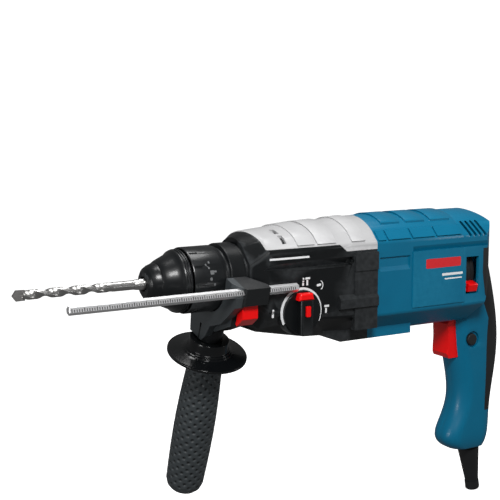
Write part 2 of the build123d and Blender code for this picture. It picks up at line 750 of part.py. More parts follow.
def make_mode_knob():
    with BuildPart() as mode_knob:
        bar_y(-38.5, -40.6, KNOB_RADIUS, KNOB_X, KNOB_Z)
        fillet(mode_knob.edges().filter_by(GeomType.CIRCLE).sort_by(Axis.Y)[:1], radius=0.8)
        block((KNOB_X - 6.2, -48.0, KNOB_Z - 17.6), (KNOB_X + 6.2, -40.0, KNOB_Z + 10.6))
        fillet(mode_knob.edges().filter_by(Axis.Z).filter_by(lambda e: e.center().Y < -47), radius=1.6)
        bar_y(-30.5, -39, 5.0, KNOB_X, KNOB_Z)
        block((KNOB_X - 2.2, -49, KNOB_Z - 3), (KNOB_X + 2.8, -44.2, KNOB_Z + 6.5), mode=Mode.SUBTRACT)
    return mode_knob.part


def make_knob_pointer():
    with BuildPart() as knob_pointer:
        with BuildSketch(Plane.XZ.offset(40.6)) as wedge:
            with BuildLine():
                Polyline((KNOB_X - 7.4, KNOB_Z + 10.6), (KNOB_X + 7.4, KNOB_Z + 10.6),
                         (KNOB_X + 6.0, KNOB_Z + 16.4), (KNOB_X - 6.0, KNOB_Z + 16.4), close=True)
            make_face()
        extrude(wedge.sketch, amount=6.8)
        chamfer(knob_pointer.edges().group_by(Axis.Y)[0], length=1.0)
    return knob_pointer.part


def make_knob_lock_button():
    with BuildPart() as knob_lock_button:
        block((KNOB_X - 1.9, -48.9, KNOB_Z - 2.7), (KNOB_X + 2.5, -46.0, KNOB_Z + 6.2))
        fillet(knob_lock_button.edges().filter_by(Axis.Y), radius=0.8)
    return knob_lock_button.part


def make_shift_plate():
    with BuildPart() as shift_plate:
        block((108, -31.0, -14), (150, -29.2, -4))
        block((146, -31.0, -14), (150, -20, -9))
    return shift_plate.part


# ---------------------------------------------------------------- motor
def make_armature_shaft():
    with BuildPart() as armature_shaft:
        turned([(166, 0), (166, 2.5), (180, 2.5), (180, 5.0), (316, 5.0), (316, 0)], z=MOTOR_Z)
    return armature_shaft.part


def make_motor_pinion():
    with BuildPart() as motor_pinion:
        gear_x(167, 178.5, PINION_TEETH, 2.5, MOTOR_Z, phase=-90)
    return motor_pinion.part


def make_armature_core():
    with BuildPart() as armature_core:
        with BuildSketch(Plane.YZ.offset(222)) as lamination:
            with Locations((0, MOTOR_Z)):
                Circle(19.0)
                Circle(5.0, mode=Mode.SUBTRACT)
                with PolarLocations(15.5, 12):
                    Rectangle(8, 2.6, mode=Mode.SUBTRACT)
        extrude(lamination.sketch, amount=50)
    return armature_core.part


def make_armature_windings():
    with BuildPart() as armature_windings:
        for start, end in ((213, 222), (272, 281)):
            turned([(start, 5.0), (start, 14), (start + 2, 16.5), (end - 2, 16.5), (end, 14), (end, 5.0)],
                   z=MOTOR_Z)
    return armature_windings.part


def make_commutator():
    with BuildPart() as commutator:
        with BuildSketch(Plane.YZ.offset(286)) as ring:
            with Locations((0, MOTOR_Z)):
                Circle(12.0)
                Circle(5.0, mode=Mode.SUBTRACT)
                with PolarLocations(12.0, 24):
                    Rectangle(2.4, 0.6, mode=Mode.SUBTRACT)
        extrude(ring.sketch, amount=14)
    return commutator.part


def make_cooling_fan():
    with BuildPart() as cooling_fan:
        bar_x(205, 207, 32.5, z=MOTOR_Z)
        bar_x(196, 206, 9.0, z=MOTOR_Z)
        with BuildSketch(Plane.YZ.offset(196.5)) as blades:
            with Locations((0, MOTOR_Z)):
                with PolarLocations(20.2, 11):
                    Rectangle(23, 1.4, rotation=14)
        extrude(blades.sketch, amount=9)
        bar_x(195, 208, 5.0, z=MOTOR_Z, mode=Mode.SUBTRACT)
    return cooling_fan.part


def make_stator_core():
    with BuildPart() as stator_core:
        with BuildSketch(Plane.YZ.offset(222)) as lamination:
            with Locations((0, MOTOR_Z)):
                Circle(34.4)
                Rectangle(80, 58, mode=Mode.INTERSECT)
                Circle(19.6, mode=Mode.SUBTRACT)
        extrude(lamination.sketch, amount=50)
    return stator_core.part


def make_field_windings():
    with BuildPart() as field_windings:
        for start in (212.5, 272.0):
            with BuildSketch(Plane.YZ.offset(start)) as coil:
                with Locations((0, MOTOR_Z)):
                    Circle(27.5)
                    Circle(20.0, mode=Mode.SUBTRACT)
                    Rectangle(6, 70, mode=Mode.SUBTRACT)
            extrude(coil.sketch, amount=9.5)
    return field_windings.part


def make_brush_plate():
    with BuildPart() as brush_plate:
        bar_x(301.6, 304.6, 31.0, z=MOTOR_Z)
        bar_x(301, 305, 13.5, z=MOTOR_Z, mode=Mode.SUBTRACT)
        for side in (-1, 1):
            near, far = sorted((side * 15.0, side * 29.5))
            block((285.6, near, MOTOR_Z - 5), (301.6, far, MOTOR_Z + 5))
            near, far = sorted((side * 12.0, side * 27.0))
            block((288, near, MOTOR_Z - 3.4), (297.6, far, MOTOR_Z + 3.4), mode=Mode.SUBTRACT)
    return brush_plate.part


def make_carbon_brushes():
    with BuildPart() as carbon_brushes:
        for side in (-1, 1):
            near = side * 12.3
            far = side * 24.0
            block((288.1, min(near, far), MOTOR_Z - 3.3), (297.5, max(near, far), MOTOR_Z + 3.3))
    return carbon_brushes.part


def make_gear_carrier():
    with BuildPart() as gear_carrier:
        extrude(outline_at(134.5, STATIONS[2], 6.0), amount=4.5)
        bar_x(134, 140, TUBE_RADIUS + FIT, mode=Mode.SUBTRACT)
        bar_x(134, 140, 5.0 + FIT, z=COUNTER_Z, mode=Mode.SUBTRACT)
        bar_x(134, 140, 5.0, z=10, y=24, mode=Mode.SUBTRACT)
        block((134, -40, -16), (140, -27.5, -2), mode=Mode.SUBTRACT)
    return gear_carrier.part


def make_motor_flange():
    with BuildPart() as motor_flange:
        extrude(outline_at(179.5, STATIONS[3], 5.8), amount=14)
        bar_x(179, 185.2, 8.0, z=COUNTER_Z, mode=Mode.SUBTRACT)
        bar_x(186, 194, 13.0, z=MOTOR_Z, mode=Mode.SUBTRACT)
        bar_x(179, 194, 6.2, z=MOTOR_Z, mode=Mode.SUBTRACT)
    return motor_flange.part


def make_housing_screws():
    with BuildPart() as housing_screws:
        for y, z in ((-23, 29), (23, 29), (-24, -44), (24, -44)):
            bar_x(194, 214, 2.0, z=z, y=y)
            bar_x(214, 217, 3.6, z=z, y=y)
        for x, z in SCREW_PLACES:
            bar_y(-12, 10, 1.7, x, z)
    return housing_screws.part


# ---------------------------------------------------------------- side handle
def leaned(part):
    """Swing a side handle piece, drawn straight down, to its place about the spindle."""
    return part.rotate(Axis.X, SIDE_LEAN)


ROD_LOCAL_Y = (ROD_Y * math.cos(math.radians(SIDE_LEAN)) + ROD_Z * math.sin(math.radians(SIDE_LEAN)))
ROD_LOCAL_Z = (-ROD_Y * math.sin(math.radians(SIDE_LEAN)) + ROD_Z * math.cos(math.radians(SIDE_LEAN)))


def make_clamp_band():
    with BuildPart() as clamp_band:
        bar_x(64.0, 77.8, BAND_RADIUS)
        bar_x(63.0, 79.0, COLLAR_RADIUS + FIT, mode=Mode.SUBTRACT)
        fillet(clamp_band.edges().filter_by(GeomType.CIRCLE).filter_by(lambda e: e.radius > 27), radius=0.8)
    return leaned(clamp_band.part)


def make_clamp_body():
    with BuildPart() as clamp_body:
        with BuildSketch(Plane.YZ.offset(58)) as front:
            with BuildLine():
                Polyline((19.5, -20), (19.5, -40), (15.5, -57.2), (-4.5, -56.2), (-9.5, -50), (-14, -38),
                         (-30, -27), (-46.5, -4), (-46.5, 5), (-27, 8), (-20, -15), close=True)
            make_face()
        extrude(front.sketch, amount=8)
        with BuildSketch(Plane.YZ.offset(64)) as rear:
            with BuildLine():
                Polyline((16, -20), (16, -44), (-14, -44), (-35.5, -27), (-36, 0), (-20, 0), close=True)
            make_face()
        extrude(rear.sketch, amount=15)
        with BuildSketch(Plane.XY.offset(-2.5)) as arm:
            with BuildLine():
                Polyline((58, -26.5), (76, -26.5), (87.5, -42), (87.5, -48), (66, -48), (58, -36), close=True)
            make_face()
        extrude(arm.sketch, amount=15.5)
        bar_x(50, 62.4, RING_RADIUS + 0.6, mode=Mode.SUBTRACT)
        bar_x(62, 90, BAND_RADIUS + 0.02, mode=Mode.SUBTRACT)
        block((66.2, -60, -30), (81.5, -36.2, -2.6), mode=Mode.SUBTRACT)
        with BuildSketch(Plane.YZ.offset(50)) as passage:
            with Locations((ROD_LOCAL_Y, ROD_LOCAL_Z)):
                RegularPolygon(ROD_FLATS / 2 + FIT, 6, major_radius=False)
        extrude(passage.sketch, amount=50, mode=Mode.SUBTRACT)
        with BuildSketch(Plane.XY.offset(-70)) as bolt_way:
            with Locations((SIDE_X, 0)):
                Circle(4.05)
        extrude(bolt_way.sketch, amount=60, mode=Mode.SUBTRACT)
        with BuildSketch(Plane.XY.offset(-62)) as socket:
            with Locations((SIDE_X, 0)):
                Circle(NUT_RADIUS + FIT)
        extrude(socket.sketch, amount=20, mode=Mode.SUBTRACT)
    return leaned(clamp_body.part)


def make_grip_nut():
    with BuildPart() as grip_nut:
        with BuildSketch(Plane.XY.offset(-57.5)) as skirt:
            with Locations((SIDE_X, 0)):
                Circle(NUT_RADIUS)
        extrude(skirt.sketch, amount=11.5)
        with BuildSketch(Plane.XY.offset(-60)) as bolt_way:
            with Locations((SIDE_X, 0)):
                Circle(4.05)
        extrude(bolt_way.sketch, amount=30, mode=Mode.SUBTRACT)
    return leaned(grip_nut.part)


def make_clamp_bolt():
    with BuildPart() as clamp_bolt:
        with BuildSketch(Plane.XY.offset(-92)) as shank:
            with Locations((SIDE_X, 0)):
                Circle(4.0)
        extrude(shank.sketch, amount=92 - BAND_RADIUS - 0.6)
    return leaned(clamp_bolt.part)


def make_guard_disc():
    with BuildPart() as guard_disc:
        with BuildSketch(Plane.XZ) as profile:
            with BuildLine():
                Polyline((4.1, -57.8), (16.8, -57.8), (18.4, -66), (19.6, -66.4), (19.6, -67.6),
                         (21.2, -67.9),
                         (21.2, -69), (32.8, -71.2), (GUARD_RADIUS, -71.2), (GUARD_RADIUS, -73.2),
                         (32.5, -73.8), (14, -72), (4.1, -72), close=True)
            make_face()
        revolve(profile.sketch, axis=Axis.Z)
    return leaned(guard_disc.part.moved(Location((SIDE_X, 0, 0))))


def make_side_grip():
    with BuildPart() as side_grip:
        with BuildSketch(Plane.XZ) as profile:
            with BuildLine():
                Polyline((0, -94), (4.1, -94), (4.1, -72.2), (14.2, -72.2))
                Spline((14.2, -72.2), (16.4, -105), (17.8, -135), (17.8, -170), (16.8, -203))
                ThreePointArc((16.8, -203), (12.6, -211.0), (4.0, -GRIP_END_DROP))
                Polyline((4.0, -GRIP_END_DROP), (0, -GRIP_END_DROP), (0, -94))
            make_face()
        revolve(profile.sketch, axis=Axis.Z)
    return leaned(side_grip.part.moved(Location((SIDE_X, 0, 0))))


def make_depth_rod():
    with BuildPart() as depth_rod:
        with BuildSketch(Plane.YZ.offset(ROD_START)) as section:
            with Locations((ROD_LOCAL_Y, ROD_LOCAL_Z)):
                RegularPolygon(ROD_FLATS / 2, 6, major_radius=False)
        extrude(section.sketch, amount=ROD_LENGTH)
        chamfer(depth_rod.edges().group_by(Axis.X)[0], length=0.5)
        chamfer(depth_rod.edges().group_by(Axis.X)[-1], length=0.5)
    return leaned(depth_rod.part)


def make_depth_stop_button():
    with BuildPart() as depth_stop_button:
        with BuildSketch(Plane.YZ.offset(66.6)) as profile:
            with BuildLine():
                Polyline((-43.5, -3.2), (-47.3, -15), (-41, -24), (-38.6, -24), (-38.6, -3.2), close=True)
            make_face()
        extrude(profile.sketch, amount=14.5)
        fillet(depth_stop_button.edges().filter_by(Axis.X).group_by(Axis.Y)[:2], radius=1.2)
    return leaned(depth_stop_button.part)


# ---------------------------------------------------------------- write
def build_all():
    gear_housing, cover_space = make_gear_housing()
    handle_rubber, handle_shell_left, handle_shell_right = make_handle_parts()
    return {
        "drill_bit": make_drill_bit(),
        "carbide_tip": make_carbide_tip(),
        "dust_cap": make_dust_cap(),
        "locking_sleeve": make_locking_sleeve(),
        "sleeve_spring": make_sleeve_spring(),
        "locking_ring": make_locking_ring(),
        "locking_balls": make_locking_balls(),
        "chuck_lock_ring": make_chuck_lock_ring(),
        "hammer_tube": make_hammer_tube(),
        "impact_bolt": make_impact_bolt(),
        "striker": make_striker(),
        "piston": make_piston(),
        "piston_pin": make_piston_pin(),
        "wobble_ring": make_wobble_ring(),
        "wobble_drum": make_wobble_drum(),
        "countershaft": make_countershaft(),
        "countershaft_gear": make_countershaft_gear(),
        "spindle_gear": make_spindle_gear(),
        "clutch_spring": make_clutch_spring(),
        "spindle_bearing": make_bearings(((67, 76, TUBE_RADIUS + FIT, 22.0, SPINDLE_Z),)),
        "countershaft_bearings": make_bearings(((104, 110.5, 5.0 + FIT, 8.0, COUNTER_Z),
                                                (179.6, 185, 5.0 + FIT, 8.0, COUNTER_Z))),
        "armature_bearings": make_bearings(((186.2, 193.2, 5.0 + FIT, 13.0, MOTOR_Z),
                                            (307, 313.5, 5.0 + FIT, 9.5, MOTOR_Z))),
        "shaft_seal": make_shaft_seal(),
        "gear_housing": gear_housing,
        "top_cover": make_top_cover(cover_space),
        "gear_carrier": make_gear_carrier(),
        "motor_flange": make_motor_flange(),
        "motor_housing": make_motor_housing(),
        "housing_screws": make_housing_screws(),
        "handle_shell_left": handle_shell_left,
        "handle_shell_right": handle_shell_right,
        "handle_rubber": handle_rubber,
        "cord_guard": make_cord_guard(),
        "trigger": make_trigger(),
        "switch_module": make_switch_module(),
        "lock_on_button": make_lock_on_button(),
        "reversing_lever": make_reversing_lever(),
        "lever_shutter": make_lever_shutter(),
        "mode_knob": make_mode_knob(),
        "knob_pointer": make_knob_pointer(),
        "knob_lock_button": make_knob_lock_button(),
        "shift_plate": make_shift_plate(),
        "armature_shaft": make_armature_shaft(),
        "motor_pinion": make_motor_pinion(),
        "armature_core": make_armature_core(),
        "armature_windings": make_armature_windings(),
        "commutator": make_commutator(),
        "cooling_fan": make_cooling_fan(),
        "stator_core": make_stator_core(),
        "field_windings": make_field_windings(),
        "brush_plate": make_brush_plate(),
        "carbon_brushes": make_carbon_brushes(),
        "clamp_band": make_clamp_band(),
        "clamp_body": make_clamp_body(),
        "grip_nut": make_grip_nut(),
        "clamp_bolt": make_clamp_bolt(),
        "guard_disc": make_guard_disc(),
        "side_grip": make_side_grip(),
        "depth_rod": make_depth_rod(),
        "depth_stop_button": make_depth_stop_button(),
    }


if __name__ == "__main__":
    os.makedirs("parts", exist_ok=True)
    for name, part in build_all().items():
        part.label = name
        export_step(part, "parts/" + name + ".step")
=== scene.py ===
import json
import math

import bpy
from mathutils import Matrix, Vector


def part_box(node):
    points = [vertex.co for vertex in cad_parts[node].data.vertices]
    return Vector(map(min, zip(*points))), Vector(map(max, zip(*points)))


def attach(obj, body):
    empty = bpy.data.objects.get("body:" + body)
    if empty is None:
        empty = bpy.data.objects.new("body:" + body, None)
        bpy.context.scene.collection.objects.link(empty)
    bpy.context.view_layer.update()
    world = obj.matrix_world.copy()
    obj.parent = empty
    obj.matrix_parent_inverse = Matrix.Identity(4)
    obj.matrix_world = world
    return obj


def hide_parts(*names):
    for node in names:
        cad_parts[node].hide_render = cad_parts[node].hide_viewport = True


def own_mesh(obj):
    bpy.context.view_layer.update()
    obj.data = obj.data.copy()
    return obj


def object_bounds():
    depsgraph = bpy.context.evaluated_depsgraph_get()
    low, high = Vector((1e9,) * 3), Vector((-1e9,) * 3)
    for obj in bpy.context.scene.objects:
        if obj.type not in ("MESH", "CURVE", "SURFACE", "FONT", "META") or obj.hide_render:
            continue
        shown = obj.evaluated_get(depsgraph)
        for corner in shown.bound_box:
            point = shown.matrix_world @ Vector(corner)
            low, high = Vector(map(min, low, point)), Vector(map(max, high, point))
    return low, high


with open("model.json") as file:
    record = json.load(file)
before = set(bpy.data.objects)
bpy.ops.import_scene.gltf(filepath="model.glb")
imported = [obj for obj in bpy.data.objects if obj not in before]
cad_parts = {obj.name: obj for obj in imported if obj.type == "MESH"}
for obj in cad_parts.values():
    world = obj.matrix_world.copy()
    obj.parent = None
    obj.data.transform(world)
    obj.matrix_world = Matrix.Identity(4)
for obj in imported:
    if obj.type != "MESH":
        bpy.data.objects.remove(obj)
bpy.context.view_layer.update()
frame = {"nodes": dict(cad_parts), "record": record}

MM = 0.001
SIDE_HANDLE_LEAN = 19
ROD_FACE_ANGLE = 150
CAMERA_AZIMUTH = -31
CAMERA_ELEVATION = 7.8
CAMERA_PLACE = (-0.3933, -0.8170, 0.1509)
CAMERA_LENS = 82.8
FLOOR_RADIUS = 2.6
WALL_HEIGHT = 2.0


# ---------------------------------------------------------------- materials
def node(tree, kind, **inputs):
    """Adds a shader node and sets its named inputs."""
    made = tree.nodes.new(kind)
    for name, value in inputs.items():
        made.inputs[name.replace("_", " ")].default_value = value
    return made


def mixed(tree, factor, low, high):
    """A colour mix driven by factor, from colour low to colour high."""
    mix = tree.nodes.new("ShaderNodeMix")
    mix.data_type = "RGBA"
    mix.inputs[6].default_value = (*low, 1)
    mix.inputs[7].default_value = (*high, 1)
    tree.links.new(factor, mix.inputs[0])
    return mix.outputs[2]


def spread(tree, source, low, high):
    """Maps 0..1 to low..high."""
    ranged = tree.nodes.new("ShaderNodeMapRange")
    ranged.inputs["To Min"].default_value = low
    ranged.inputs["To Max"].default_value = high
    tree.links.new(source, ranged.inputs["Value"])
    return ranged.outputs["Result"]


def noise(tree, coords, scale, detail=3.0, roughness=0.5):
    made = node(tree, "ShaderNodeTexNoise", Scale=scale, Detail=detail, Roughness=roughness)
    tree.links.new(coords, made.inputs["Vector"])
    return made.outputs["Fac"]


def new_material(name):
    """An empty material with its shader, its tree and object coordinates."""
    material = bpy.data.materials.new(name)
    material.use_nodes = True
    tree = material.node_tree
    shader = tree.nodes["Principled BSDF"]
    coords = tree.nodes.new("ShaderNodeTexCoord").outputs["Object"]
    return material, tree, shader, coords


def bump(tree, shader, sources):
    """Chains bumps: sources are (height output, strength, distance in metres)."""
    last = None
    for height, strength, distance in sources:
        made = node(tree, "ShaderNodeBump", Strength=strength, Distance=distance)
        tree.links.new(height, made.inputs["Height"])
        if last is not None:
            tree.links.new(last, made.inputs["Normal"])
        last = made.outputs["Normal"]
    tree.links.new(last, shader.inputs["Normal"])


def highlight_and_rub_edges(tree, colour, coords, edge_highlight_colour, amount):
    """Paints a lighter edge colour over the sharper corners, broken up by noise: a painted highlight where
    edges catch the light, with some rubbed wear.
    """
    edge = tree.nodes.new("ShaderNodeNewGeometry").outputs["Pointiness"]
    step = node(tree, "ShaderNodeMapRange", **{"From_Min": 0.52, "From_Max": 0.62})
    tree.links.new(edge, step.inputs["Value"])
    times = tree.nodes.new("ShaderNodeMath")
    times.operation = "MULTIPLY"
    tree.links.new(step.outputs["Result"], times.inputs[0])
    tree.links.new(spread(tree, noise(tree, coords, 240.0), 0.0, amount), times.inputs[1])
    mix = tree.nodes.new("ShaderNodeMix")
    mix.data_type = "RGBA"
    mix.inputs[7].default_value = (*edge_highlight_colour, 1)
    tree.links.new(times.outputs[0], mix.inputs[0])
    tree.links.new(colour, mix.inputs[6])
    return mix.outputs[2]


def plastic(name, low, high, roughness, grain=2600.0, depth=0.05, coat=0.0, edge=None, highlight_and_wear=0.0):
    """Moulded plastic: fine spark-eroded grain, slight colour drift, and rubbed edges with a painted
    highlight.
    """
    material, tree, shader, coords = new_material(name)
    drift = noise(tree, coords, 34.0, 4.0)
    colour = mixed(tree, drift, low, high)
    if edge is not None:
        colour = highlight_and_rub_edges(tree, colour, coords, edge, highlight_and_wear)
    tree.links.new(colour, shader.inputs["Base Color"])
    smear = noise(tree, coords, 130.0, 5.0, 0.65)
    tree.links.new(spread(tree, smear, roughness - 0.05, roughness + 0.07), shader.inputs["Roughness"])
    shader.inputs["Specular IOR Level"].default_value = 0.34
    shader.inputs["Coat Weight"].default_value = coat
    shader.inputs["Coat Roughness"].default_value = 0.12
    fine = noise(tree, coords, grain, 2.0, 0.6)
    broad = noise(tree, coords, 60.0, 2.0)
    bump(tree, shader, [(broad, 0.15, 0.0002), (fine, depth * 4, 0.00008)])
    return material


def rubber(name, low, high, roughness=0.62, hollow=None):
    """Soft-touch rubber with a fine leather-like skin, and painted shade that darkens it where the surface
    is hollow.
    """
    material, tree, shader, coords = new_material(name)
    colour = mixed(tree, noise(tree, coords, 60.0, 5.0), low, high)
    if hollow is not None:
        # Painted shade: the hollows are darkened towards the hollow colour.
        painted_hollow_shade = node(tree, "ShaderNodeMapRange", **{"From_Min": 0.505, "From_Max": 0.44})
        tree.links.new(tree.nodes.new("ShaderNodeNewGeometry").outputs["Pointiness"], painted_hollow_shade.inputs["Value"])
        mix = tree.nodes.new("ShaderNodeMix")
        mix.data_type = "RGBA"
        mix.inputs[7].default_value = (*hollow, 1)
        tree.links.new(painted_hollow_shade.outputs["Result"], mix.inputs[0])
        tree.links.new(colour, mix.inputs[6])
        colour = mix.outputs[2]
    tree.links.new(colour, shader.inputs["Base Color"])
    skin = node(tree, "ShaderNodeTexVoronoi", Scale=1500.0)
    tree.links.new(coords, skin.inputs["Vector"])
    tree.links.new(spread(tree, noise(tree, coords, 90.0), roughness - 0.06, roughness + 0.08),
                   shader.inputs["Roughness"])
    bump(tree, shader, [(skin.outputs["Distance"], 0.22, 0.0001),
                        (noise(tree, coords, 300.0, 4.0), 0.12, 0.0001)])
    return material


def steel(name, low, high, roughness, stretch, lines=900.0, depth=0.3):
    """Turned or ground steel: noise stretched across the tool marks."""
    material, tree, shader, coords = new_material(name)
    mapping = tree.nodes.new("ShaderNodeMapping")
    mapping.inputs["Scale"].default_value = stretch
    tree.links.new(coords, mapping.inputs["Vector"])
    marks = noise(tree, mapping.outputs["Vector"], lines, 3.0, 0.6)
    tree.links.new(mixed(tree, marks, low, high), shader.inputs["Base Color"])
    shader.inputs["Metallic"].default_value = 1.0
    tree.links.new(spread(tree, marks, roughness - 0.06, roughness + 0.1), shader.inputs["Roughness"])
    bump(tree, shader, [(marks, depth, 0.00004), (noise(tree, coords, 80.0, 3.0), 0.08, 0.0001)])
    return material


def printed(name, low, high, roughness=0.45):
    """Pad-printed ink: flat colour with slight thin spots."""
    material, tree, shader, coords = new_material(name)
    tree.links.new(mixed(tree, noise(tree, coords, 700.0, 5.0), low, high), shader.inputs["Base Color"])
    tree.links.new(spread(tree, noise(tree, coords, 200.0), roughness - 0.05, roughness + 0.1),
                   shader.inputs["Roughness"])
    bump(tree, shader, [(noise(tree, coords, 2600.0), 0.1, 0.00005)])
    return material


# The lighter edge colours given here are painted highlights along the sharper edges, with some rubbed wear.
BLACK = plastic("casing_black", (0.0028, 0.0036, 0.0042), (0.0052, 0.0064, 0.0072), 0.34,
                edge=(0.09, 0.097, 0.103), highlight_and_wear=0.45)
CHUCK = plastic("chuck_black", (0.0034, 0.0042, 0.0048), (0.0062, 0.0072, 0.0082), 0.30, coat=0.15,
                edge=(0.09, 0.097, 0.103), highlight_and_wear=0.9)
BLUE = plastic("motor_blue", (0.0, 0.125, 0.235), (0.0005, 0.155, 0.280), 0.34, coat=0.08,
               edge=(0.02, 0.26, 0.42), highlight_and_wear=0.5)
PALE = plastic("cover_pale", (0.44, 0.44, 0.445), (0.52, 0.52, 0.525), 0.36, coat=0.1,
               edge=(0.85, 0.85, 0.86), highlight_and_wear=0.9)
RED = plastic("control_red", (0.80, 0.0008, 0.0012), (0.95, 0.002, 0.003), 0.34, coat=0.25)
GLOSS = plastic("guard_black", (0.0030, 0.0036, 0.0042), (0.0055, 0.0062, 0.0070), 0.16, grain=1400.0,
                depth=0.01, coat=0.2)
INNER = plastic("inner_black", (0.010, 0.011, 0.012), (0.016, 0.017, 0.018), 0.55)
# The grip's hollow colour is painted shade in its dimples.
RUBBER = rubber("grip_rubber", (0.034, 0.041, 0.045), (0.050, 0.059, 0.064), 0.48,
                hollow=(0.004, 0.005, 0.0055))
HANDLE_RUBBER = rubber("handle_rubber", (0.0050, 0.0058, 0.0065), (0.0095, 0.0105, 0.0115), 0.5)
BRIGHT = steel("bright_steel", (0.50, 0.49, 0.48), (0.74, 0.74, 0.73), 0.24, (0.05, 1.0, 1.0))
ROD = steel("rod_steel", (0.90, 0.90, 0.91), (0.98, 0.98, 0.99), 0.42, (0.03, 1.0, 1.0), 1400.0)
DARK = steel("dark_steel", (0.22, 0.22, 0.23), (0.36, 0.36, 0.37), 0.35, (1.0, 0.08, 0.08))
CARBIDE = steel("carbide", (0.38, 0.37, 0.36), (0.55, 0.54, 0.53), 0.4, (1.0, 1.0, 1.0), 1800.0)
CAST = steel("cast_aluminium", (0.55, 0.55, 0.56), (0.72, 0.72, 0.73), 0.48, (1.0, 1.0, 1.0), 1200.0)
LAMINATED = steel("laminated_steel", (0.24, 0.24, 0.25), (0.42, 0.42, 0.43), 0.45, (1.0, 0.02, 0.02), 1800.0)
BIT = steel("bit_steel", (0.44, 0.43, 0.42), (0.56, 0.56, 0.55), 0.30, (1.0, 1.0, 1.0), 500.0, 0.05)
COPPER = steel("copper_wire", (0.55, 0.22, 0.10), (0.75, 0.34, 0.18), 0.32, (1.0, 0.1, 0.1), 900.0)
CARBON = plastic("carbon", (0.01, 0.01, 0.01), (0.03, 0.03, 0.03), 0.6)
WHITE_INK = printed("white_ink", (0.80, 0.81, 0.82), (0.92, 0.93, 0.94))
RED_INK = printed("red_ink", (0.62, 0.010, 0.015), (0.75, 0.02, 0.03))
RING_INK = printed("ring_ink", (0.10, 0.105, 0.11), (0.16, 0.165, 0.17))
DARK_INK = printed("dark_ink", (0.02, 0.022, 0.024), (0.05, 0.052, 0.055))

NODE_MATERIALS = {
    "drill_bit": BRIGHT, "carbide_tip": CARBIDE, "dust_cap": CHUCK, "locking_sleeve": CHUCK,
    "sleeve_spring": DARK, "locking_ring": DARK, "locking_balls": BRIGHT, "chuck_lock_ring": CHUCK,
    "hammer_tube": DARK, "impact_bolt": DARK, "striker": DARK, "piston": CAST, "piston_pin": DARK,
    "wobble_ring": DARK, "wobble_drum": DARK, "countershaft": DARK, "countershaft_gear": DARK,
    "spindle_gear": DARK, "clutch_spring": DARK, "spindle_bearing": BRIGHT, "countershaft_bearings": BRIGHT,
    "armature_bearings": BRIGHT, "shaft_seal": HANDLE_RUBBER, "gear_housing": BLACK, "top_cover": PALE,
    "gear_carrier": CAST, "motor_flange": CAST, "motor_housing": BLUE, "housing_screws": DARK,
    "handle_shell_left": BLUE, "handle_shell_right": BLUE, "handle_rubber": HANDLE_RUBBER,
    "cord_guard": HANDLE_RUBBER, "trigger": RED, "switch_module": INNER, "lock_on_button": INNER,
    "reversing_lever": RED, "lever_shutter": INNER, "mode_knob": BLACK, "knob_pointer": RED,
    "knob_lock_button": RED, "shift_plate": DARK, "armature_shaft": BRIGHT, "motor_pinion": DARK,
    "armature_core": LAMINATED, "armature_windings": COPPER, "commutator": COPPER, "cooling_fan": INNER,
    "stator_core": LAMINATED, "field_windings": COPPER, "brush_plate": INNER, "carbon_brushes": CARBON,
    "clamp_band": BLACK, "grip_nut": BLACK, "clamp_bolt": DARK, "guard_disc": GLOSS,
    "side_grip": RUBBER, "depth_rod": ROD, "depth_stop_button": RED,
}
ROUNDED = {
    "gear_housing": 0.5, "motor_housing": 0.5, "top_cover": 0.4, "handle_shell_left": 0.5,
    "handle_shell_right": 0.5, "clamp_body": 0.5, "mode_knob": 0.4, "knob_pointer": 0.3, "trigger": 0.5,
    "depth_stop_button": 0.5, "reversing_lever": 0.3, "chuck_lock_ring": 0.3, "locking_sleeve": 0.3,
    "dust_cap": 0.4, "grip_nut": 0.5, "guard_disc": 0.3, "knob_lock_button": 0.2, "lever_shutter": 0.2,
}


def lit_and_shaded(obj, limit):
    """The clamp: a grey front plate, which is painted light on the same dark plastic, and a near-black arm
    behind the world X limit.
    """
    material, tree, shader, coords = new_material("clamp_two_tone")
    local = (obj.matrix_world.inverted() @ Vector((limit, 0, 0))).x
    split = tree.nodes.new("ShaderNodeSeparateXYZ")
    tree.links.new(coords, split.inputs[0])
    step = node(tree, "ShaderNodeMapRange", **{"From_Min": local - 0.0002, "From_Max": local + 0.0002})
    tree.links.new(split.outputs["X"], step.inputs["Value"])
    drift = noise(tree, coords, 40.0, 4.0)
    mix = tree.nodes.new("ShaderNodeMix")
    mix.data_type = "RGBA"
    tree.links.new(step.outputs["Result"], mix.inputs[0])
    # Painted light: the front plate gets a lighter grey copy of the arm's near-black colour.
    tree.links.new(mixed(tree, drift, (0.040, 0.047, 0.051), (0.055, 0.063, 0.068)), mix.inputs[6])
    tree.links.new(mixed(tree, drift, (0.006, 0.0072, 0.008), (0.012, 0.0135, 0.015)), mix.inputs[7])
    tree.links.new(mix.outputs[2], shader.inputs["Base Color"])
    tree.links.new(spread(tree, noise(tree, coords, 130.0, 5.0), 0.33, 0.46), shader.inputs["Roughness"])
    bump(tree, shader, [(noise(tree, coords, 2600.0, 2.0), 0.2, 0.00008)])
    return material


def finish_cad_nodes():
    """Materials for every CAD node, and rounded edges where they are seen."""
    for name, obj in frame["nodes"].items():
        obj.data.materials.clear()
        if name == "clamp_body":
            # The clamp's lighter front plate is painted light.
            material = lit_and_shaded(obj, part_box("clamp_band")[0].x + 0.2 * MM)
        else:
            material = NODE_MATERIALS[name]
        obj.data.materials.append(material)
        if name in ROUNDED:
            weld = obj.modifiers.new("weld", "WELD")
            weld.merge_threshold = 0.00001
            round_off = obj.modifiers.new("round_off", "BEVEL")
            round_off.width = ROUNDED[name] * MM
            round_off.segments = 3
            round_off.limit_method = "ANGLE"
            round_off.angle_limit = math.radians(28)
            round_off.harden_normals = True
            round_off.use_clamp_overlap = True


